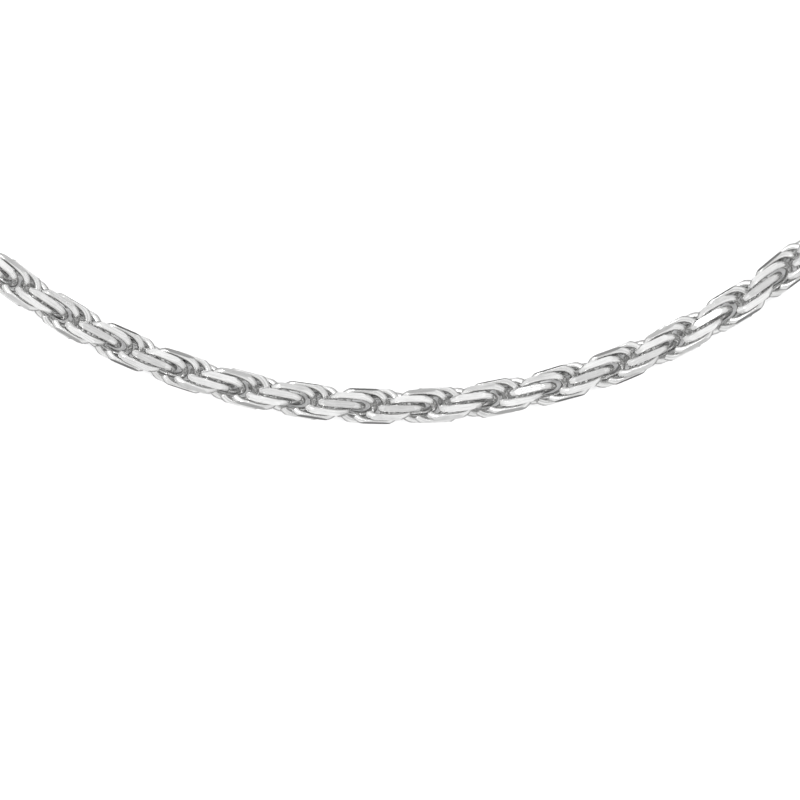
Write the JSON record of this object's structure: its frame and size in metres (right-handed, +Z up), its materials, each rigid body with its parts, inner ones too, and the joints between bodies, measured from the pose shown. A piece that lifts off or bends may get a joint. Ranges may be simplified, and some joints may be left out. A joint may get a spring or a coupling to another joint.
{
  "type": "chain necklace",
  "caption": "Diamond-cut rope chain necklace of nested open oval rings, laid open in a round loop, with a jump ring at one end and a lobster clasp at the other.",
  "frame": {"origin": "on the table under the middle of the neck loop", "axes": "+Z up off the table, the middle of the front drape at -Y, +X towards the arm that carries the clasp"},
  "size_m": [0.1542, 0.1546, 0.0042],
  "materials": {
    "rope_silver": "polished silver with bright flat facets",
    "ring_silver": "polished silver wire",
    "clasp_silver": "polished cast silver",
    "rivet_steel": "satin, peened flush",
    "spring_steel": "satin spring leaf"
  },
  "bodies": {
    "chain_centre": {"chain_centre": "rope_silver"},
    "chain_right_01": {"chain_right_01": "rope_silver"},
    "chain_right_02": {"chain_right_02": "rope_silver"},
    "chain_right_03": {"chain_right_03": "rope_silver"},
    "chain_right_04": {"chain_right_04": "rope_silver"},
    "chain_right_05": {"chain_right_05": "rope_silver"},
    "chain_right_06": {"chain_right_06": "rope_silver"},
    "chain_right_07": {"chain_right_07": "rope_silver"},
    "chain_right_08": {"chain_right_08": "rope_silver"},
    "chain_right_09": {"chain_right_09": "rope_silver"},
    "chain_right_10": {"chain_right_10": "rope_silver"},
    "chain_right_11": {"chain_right_11": "rope_silver"},
    "chain_right_12": {"chain_right_12": "rope_silver"},
    "chain_right_13": {"chain_right_13": "rope_silver"},
    "chain_right_14": {"chain_right_14": "rope_silver"},
    "chain_right_15": {"chain_right_15": "rope_silver"},
    "chain_right_16": {"chain_right_16": "rope_silver"},
    "chain_right_17": {"chain_right_17": "rope_silver"},
    "chain_right_18": {"chain_right_18": "rope_silver"},
    "chain_right_19": {"chain_right_19": "rope_silver"},
    "chain_right_20": {"chain_right_20": "rope_silver"},
    "chain_right_21": {"chain_right_21": "rope_silver"},
    "chain_right_22": {"chain_right_22": "rope_silver"},
    "chain_right_23": {"chain_right_23": "rope_silver"},
    "chain_right_24": {"chain_right_24": "rope_silver", "right_end_link": "rope_silver"},
    "chain_left_01": {"chain_left_01": "rope_silver"},
    "chain_left_02": {"chain_left_02": "rope_silver"},
    "chain_left_03": {"chain_left_03": "rope_silver"},
    "chain_left_04": {"chain_left_04": "rope_silver"},
    "chain_left_05": {"chain_left_05": "rope_silver"},
    "chain_left_06": {"chain_left_06": "rope_silver"},
    "chain_left_07": {"chain_left_07": "rope_silver"},
    "chain_left_08": {"chain_left_08": "rope_silver"},
    "chain_left_09": {"chain_left_09": "rope_silver"},
    "chain_left_10": {"chain_left_10": "rope_silver"},
    "chain_left_11": {"chain_left_11": "rope_silver"},
    "chain_left_12": {"chain_left_12": "rope_silver"},
    "chain_left_13": {"chain_left_13": "rope_silver"},
    "chain_left_14": {"chain_left_14": "rope_silver"},
    "chain_left_15": {"chain_left_15": "rope_silver"},
    "chain_left_16": {"chain_left_16": "rope_silver"},
    "chain_left_17": {"chain_left_17": "rope_silver"},
    "chain_left_18": {"chain_left_18": "rope_silver"},
    "chain_left_19": {"chain_left_19": "rope_silver"},
    "chain_left_20": {"chain_left_20": "rope_silver"},
    "chain_left_21": {"chain_left_21": "rope_silver"},
    "chain_left_22": {"chain_left_22": "rope_silver"},
    "chain_left_23": {"chain_left_23": "rope_silver"},
    "chain_left_24": {"chain_left_24": "rope_silver"},
    "chain_left_25": {"chain_left_25": "rope_silver", "left_end_link": "rope_silver"},
    "right_jump_ring": {"right_jump_ring": "ring_silver"},
    "left_jump_ring": {"left_jump_ring": "ring_silver"},
    "clasp": {"clasp_body": "clasp_silver", "clasp_rivet": "rivet_steel", "clasp_spring": "spring_steel"},
    "clasp_gate": {"clasp_gate": "clasp_silver"}
  },
  "joints": [
    {"name": "right_01_sideways", "type": "hinge", "parent": "chain_centre", "child": "chain_right_01", "pos_m": [0.00442, -0.07487, 0.00212], "axis": [0, 0, 1], "range_deg": [-6, 5]},
    {"name": "right_02_up_down", "type": "hinge", "parent": "chain_right_01", "child": "chain_right_02", "pos_m": [0.01292, -0.07388, 0.00212], "axis": [0.1723, -0.985, 0], "range_deg": [-6, 6]},
    {"name": "right_03_sideways", "type": "hinge", "parent": "chain_right_02", "child": "chain_right_03", "pos_m": [0.02125, -0.07193, 0.00212], "axis": [0, 0, -1], "range_deg": [-5, 6]},
    {"name": "right_04_up_down", "type": "hinge", "parent": "chain_right_03", "child": "chain_right_04", "pos_m": [0.02931, -0.06904, 0.00212], "axis": [-0.3908, 0.9205, 0], "range_deg": [-6, 6]},
    {"name": "right_05_sideways", "type": "hinge", "parent": "chain_right_04", "child": "chain_right_05", "pos_m": [0.03698, -0.06525, 0.00212], "axis": [0, 0, 1], "range_deg": [-6, 5]},
    {"name": "right_06_up_down", "type": "hinge", "parent": "chain_right_05", "child": "chain_right_06", "pos_m": [0.04417, -0.06061, 0.00212], "axis": [-0.589, 0.8082, 0], "range_deg": [-6, 6]},
    {"name": "right_07_sideways", "type": "hinge", "parent": "chain_right_06", "child": "chain_right_07", "pos_m": [0.05079, -0.05519, 0.00212], "axis": [0, 0, -1], "range_deg": [-5, 6]},
    {"name": "right_08_up_down", "type": "hinge", "parent": "chain_right_07", "child": "chain_right_08", "pos_m": [0.05675, -0.04904, 0.00212], "axis": [0.7566, -0.6539, 0], "range_deg": [-6, 6]},
    {"name": "right_09_sideways", "type": "hinge", "parent": "chain_right_08", "child": "chain_right_09", "pos_m": [0.06196, -0.04226, 0.00212], "axis": [0, 0, 1], "range_deg": [-6, 5]},
    {"name": "right_10_up_down", "type": "hinge", "parent": "chain_right_09", "child": "chain_right_10", "pos_m": [0.06637, -0.03492, 0.00212], "axis": [0.885, -0.4657, 0], "range_deg": [-6, 6]},
    {"name": "right_11_sideways", "type": "hinge", "parent": "chain_right_10", "child": "chain_right_11", "pos_m": [0.06992, -0.02714, 0.00212], "axis": [0, 0, -1], "range_deg": [-5, 6]},
    {"name": "right_12_up_down", "type": "hinge", "parent": "chain_right_11", "child": "chain_right_12", "pos_m": [0.07255, -0.01899, 0.00212], "axis": [-0.9674, 0.2533, 0], "range_deg": [-6, 6]},
    {"name": "right_13_sideways", "type": "hinge", "parent": "chain_right_12", "child": "chain_right_13", "pos_m": [0.07425, -0.01061, 0.00212], "axis": [0, 0, 1], "range_deg": [-6, 5]},
    {"name": "right_14_up_down", "type": "hinge", "parent": "chain_right_13", "child": "chain_right_14", "pos_m": [0.07497, -0.00208, 0.00212], "axis": [-0.9996, 0.0277, 0], "range_deg": [-6, 6]},
    {"name": "right_15_sideways", "type": "hinge", "parent": "chain_right_14", "child": "chain_right_15", "pos_m": [0.07472, 0.00647, 0.00212], "axis": [0, 0, -1], "range_deg": [-5, 6]},
    {"name": "right_16_up_down", "type": "hinge", "parent": "chain_right_15", "child": "chain_right_16", "pos_m": [0.0735, 0.01494, 0.00212], "axis": [0.9799, 0.1992, 0], "range_deg": [-6, 6]},
    {"name": "right_17_sideways", "type": "hinge", "parent": "chain_right_16", "child": "chain_right_17", "pos_m": [0.07132, 0.02322, 0.00212], "axis": [0, 0, 1], "range_deg": [-6, 5]},
    {"name": "right_18_up_down", "type": "hinge", "parent": "chain_right_17", "child": "chain_right_18", "pos_m": [0.06821, 0.03119, 0.00212], "axis": [0.9094, 0.4159, 0], "range_deg": [-6, 6]},
    {"name": "right_19_sideways", "type": "hinge", "parent": "chain_right_18", "child": "chain_right_19", "pos_m": [0.06421, 0.03876, 0.00212], "axis": [0, 0, -1], "range_deg": [-5, 6]},
    {"name": "right_20_up_down", "type": "hinge", "parent": "chain_right_19", "child": "chain_right_20", "pos_m": [0.05938, 0.04582, 0.00212], "axis": [-0.7917, -0.6109, 0], "range_deg": [-6, 6]},
    {"name": "right_21_sideways", "type": "hinge", "parent": "chain_right_20", "child": "chain_right_21", "pos_m": [0.05377, 0.05228, 0.00212], "axis": [0, 0, 1], "range_deg": [-6, 5]},
    {"name": "right_22_up_down", "type": "hinge", "parent": "chain_right_21", "child": "chain_right_22", "pos_m": [0.04747, 0.05807, 0.00212], "axis": [-0.6329, -0.7743, 0], "range_deg": [-6, 6]},
    {"name": "right_23_sideways", "type": "hinge", "parent": "chain_right_22", "child": "chain_right_23", "pos_m": [0.04054, 0.0631, 0.00212], "axis": [0, 0, -1], "range_deg": [-5, 6]},
    {"name": "right_24_up_down", "type": "hinge", "parent": "chain_right_23", "child": "chain_right_24", "pos_m": [0.03309, 0.06731, 0.00212], "axis": [0.4412, 0.8974, 0], "range_deg": [-6, 6]},
    {"name": "left_01_sideways", "type": "hinge", "parent": "chain_centre", "child": "chain_left_01", "pos_m": [-0.00414, -0.07489, 0.00212], "axis": [0, 0, -1], "range_deg": [-6, 5]},
    {"name": "left_02_up_down", "type": "hinge", "parent": "chain_left_01", "child": "chain_left_02", "pos_m": [-0.01264, -0.07393, 0.00212], "axis": [0.1685, 0.9857, 0], "range_deg": [-6, 6]},
    {"name": "left_03_sideways", "type": "hinge", "parent": "chain_left_02", "child": "chain_left_03", "pos_m": [-0.02098, -0.07201, 0.00212], "axis": [0, 0, 1], "range_deg": [-5, 6]},
    {"name": "left_04_up_down", "type": "hinge", "parent": "chain_left_03", "child": "chain_left_04", "pos_m": [-0.02904, -0.06915, 0.00212], "axis": [-0.3873, -0.922, 0], "range_deg": [-6, 6]},
    {"name": "left_05_sideways", "type": "hinge", "parent": "chain_left_04", "child": "chain_left_05", "pos_m": [-0.03673, -0.06539, 0.00212], "axis": [0, 0, -1], "range_deg": [-6, 5]},
    {"name": "left_06_up_down", "type": "hinge", "parent": "chain_left_05", "child": "chain_left_06", "pos_m": [-0.04394, -0.06078, 0.00212], "axis": [-0.5859, -0.8104, 0], "range_deg": [-6, 6]},
    {"name": "left_07_sideways", "type": "hinge", "parent": "chain_left_06", "child": "chain_left_07", "pos_m": [-0.05058, -0.05538, 0.00212], "axis": [0, 0, 1], "range_deg": [-5, 6]},
    {"name": "left_08_up_down", "type": "hinge", "parent": "chain_left_07", "child": "chain_left_08", "pos_m": [-0.05656, -0.04926, 0.00212], "axis": [0.7541, 0.6567, 0], "range_deg": [-6, 6]},
    {"name": "left_09_sideways", "type": "hinge", "parent": "chain_left_08", "child": "chain_left_09", "pos_m": [-0.0618, -0.04249, 0.00212], "axis": [0, 0, -1], "range_deg": [-6, 5]},
    {"name": "left_10_up_down", "type": "hinge", "parent": "chain_left_09", "child": "chain_left_10", "pos_m": [-0.06624, -0.03518, 0.00212], "axis": [0.8832, 0.469, 0], "range_deg": [-6, 6]},
    {"name": "left_11_sideways", "type": "hinge", "parent": "chain_left_10", "child": "chain_left_11", "pos_m": [-0.06982, -0.0274, 0.00212], "axis": [0, 0, 1], "range_deg": [-5, 6]},
    {"name": "left_12_up_down", "type": "hinge", "parent": "chain_left_11", "child": "chain_left_12", "pos_m": [-0.07248, -0.01927, 0.00212], "axis": [-0.9664, -0.2569, 0], "range_deg": [-6, 6]},
    {"name": "left_13_sideways", "type": "hinge", "parent": "chain_left_12", "child": "chain_left_13", "pos_m": [-0.07421, -0.01089, 0.00212], "axis": [0, 0, -1], "range_deg": [-6, 5]},
    {"name": "left_14_up_down", "type": "hinge", "parent": "chain_left_13", "child": "chain_left_14", "pos_m": [-0.07496, -0.00236, 0.00212], "axis": [-0.9995, -0.0315, 0], "range_deg": [-6, 6]},
    {"name": "left_15_sideways", "type": "hinge", "parent": "chain_left_14", "child": "chain_left_15", "pos_m": [-0.07474, 0.00619, 0.00212], "axis": [0, 0, 1], "range_deg": [-5, 6]},
    {"name": "left_16_up_down", "type": "hinge", "parent": "chain_left_15", "child": "chain_left_16", "pos_m": [-0.07355, 0.01466, 0.00212], "axis": [0.9807, -0.1955, 0], "range_deg": [-6, 6]},
    {"name": "left_17_sideways", "type": "hinge", "parent": "chain_left_16", "child": "chain_left_17", "pos_m": [-0.0714, 0.02295, 0.00212], "axis": [0, 0, -1], "range_deg": [-6, 5]},
    {"name": "left_18_up_down", "type": "hinge", "parent": "chain_left_17", "child": "chain_left_18", "pos_m": [-0.06832, 0.03093, 0.00212], "axis": [0.911, -0.4124, 0], "range_deg": [-6, 6]},
    {"name": "left_19_sideways", "type": "hinge", "parent": "chain_left_18", "child": "chain_left_19", "pos_m": [-0.06436, 0.03851, 0.00212], "axis": [0, 0, 1], "range_deg": [-5, 6]},
    {"name": "left_20_up_down", "type": "hinge", "parent": "chain_left_19", "child": "chain_left_20", "pos_m": [-0.05955, 0.04559, 0.00212], "axis": [-0.794, 0.6079, 0], "range_deg": [-6, 6]},
    {"name": "left_21_sideways", "type": "hinge", "parent": "chain_left_20", "child": "chain_left_21", "pos_m": [-0.05397, 0.05208, 0.00212], "axis": [0, 0, -1], "range_deg": [-6, 5]},
    {"name": "left_22_up_down", "type": "hinge", "parent": "chain_left_21", "child": "chain_left_22", "pos_m": [-0.04769, 0.05789, 0.00212], "axis": [-0.6358, 0.7718, 0], "range_deg": [-6, 6]},
    {"name": "left_23_sideways", "type": "hinge", "parent": "chain_left_22", "child": "chain_left_23", "pos_m": [-0.04078, 0.06294, 0.00212], "axis": [0, 0, 1], "range_deg": [-5, 6]},
    {"name": "left_24_up_down", "type": "hinge", "parent": "chain_left_23", "child": "chain_left_24", "pos_m": [-0.03335, 0.06718, 0.00212], "axis": [0.4446, -0.8957, 0], "range_deg": [-6, 6]},
    {"name": "left_25_sideways", "type": "hinge", "parent": "chain_left_24", "child": "chain_left_25", "pos_m": [-0.02548, 0.07054, 0.00212], "axis": [0, 0, -1], "range_deg": [-6, 5]},
    {"name": "right_jump_ring_swing", "type": "hinge", "parent": "chain_right_24", "child": "right_jump_ring", "pos_m": [0.02357, 0.07131, 0.00212], "axis": [0.353, 0.9065, -0.2317], "range_deg": [-20, 35]},
    {"name": "left_jump_ring_swing", "type": "hinge", "parent": "chain_left_25", "child": "left_jump_ring", "pos_m": [-0.01136, 0.07424, 0.00212], "axis": [0.194, -0.9385, -0.2857], "range_deg": [-20, 35]},
    {"name": "clasp_swivel", "type": "hinge", "parent": "right_jump_ring", "child": "clasp", "pos_m": [0.02128, 0.0722, 0.0012], "axis": [0, 0, 1], "range_deg": [-30, 30]},
    {"name": "gate_pivot", "type": "hinge", "parent": "clasp", "child": "clasp_gate", "pos_m": [0.01674, 0.07291, 0.0012], "axis": [0, 0, -1], "range_deg": [0, 25], "stiffness_Nm_per_rad": 0.003, "springref_deg": -8.59, "deforming": ["clasp_spring"]}
  ]
}
